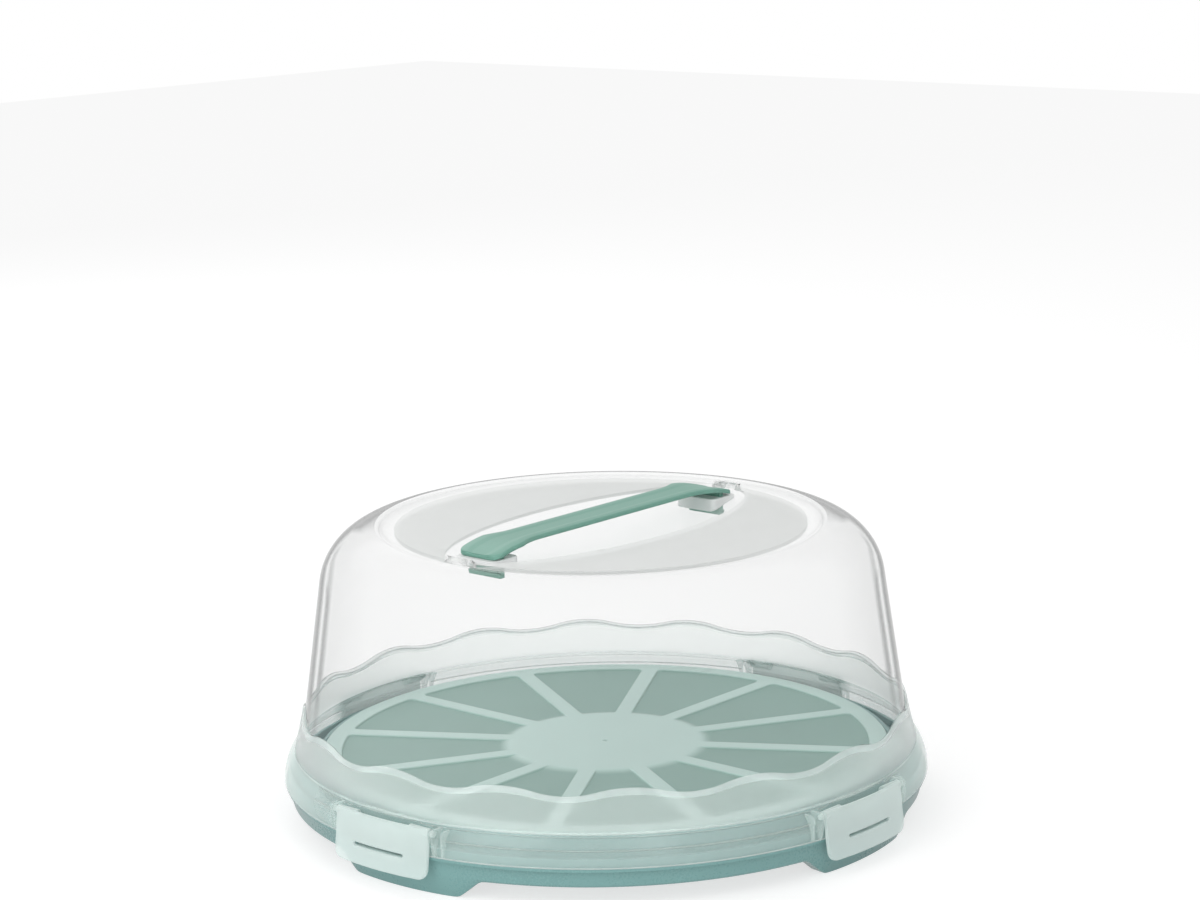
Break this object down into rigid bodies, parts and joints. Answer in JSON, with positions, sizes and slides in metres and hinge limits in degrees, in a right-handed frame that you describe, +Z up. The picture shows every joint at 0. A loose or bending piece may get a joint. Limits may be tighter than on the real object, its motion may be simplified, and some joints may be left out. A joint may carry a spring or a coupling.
{
  "type": "cake carrier",
  "caption": "Round cake carrier: clear dome lid with strap handle and hinged side clips over a footed tray with a portion-marked serving plate.",
  "frame": {"origin": "centre of the feet's plane on the table", "axes": "+Z up through the middle of the dome, +X along the carrying handle towards one clip, the camera of the picture stands towards -X and -Y"},
  "size_m": [0.3536, 0.3536, 0.1604],
  "materials": {
    "tray_green": "smooth moulded polypropylene",
    "plate_mint": "satin moulded polypropylene",
    "lid_clear": "clear moulded plastic with a frosted top and band",
    "handle_green": "smooth moulded polypropylene",
    "clip_frost": "translucent moulded polypropylene"
  },
  "bodies": {
    "tray": {"base_tray": "tray_green"},
    "plate": {"insert_plate": "plate_mint"},
    "lid": {"dome_lid": "lid_clear", "carry_handle": "handle_green"},
    "clip_right": {"clip_right": "clip_frost"},
    "clip_back": {"clip_back": "clip_frost"},
    "clip_left": {"clip_left": "clip_frost"},
    "clip_front": {"clip_front": "clip_frost"}
  },
  "joints": [
    {"name": "lid_lift", "type": "slide", "parent": "tray", "child": "lid", "axis": [0, 0, 1], "range_m": [0, 0.15]},
    {"name": "plate_lift", "type": "slide", "parent": "tray", "child": "plate", "axis": [0, 0, 1], "range_m": [0, 0.05]},
    {"name": "clip_right_hinge", "type": "hinge", "parent": "lid", "child": "clip_right", "pos_m": [0.1692, 0, 0.0332], "axis": [0, -1, 0], "range_deg": [0, 95]},
    {"name": "clip_back_hinge", "type": "hinge", "parent": "lid", "child": "clip_back", "pos_m": [0, 0.1692, 0.0332], "axis": [1, 0, 0], "range_deg": [0, 95]},
    {"name": "clip_left_hinge", "type": "hinge", "parent": "lid", "child": "clip_left", "pos_m": [-0.1692, 0, 0.0332], "axis": [0, 1, 0], "range_deg": [0, 95]},
    {"name": "clip_front_hinge", "type": "hinge", "parent": "lid", "child": "clip_front", "pos_m": [0, -0.1692, 0.0332], "axis": [-1, 0, 0], "range_deg": [0, 95]}
  ]
}
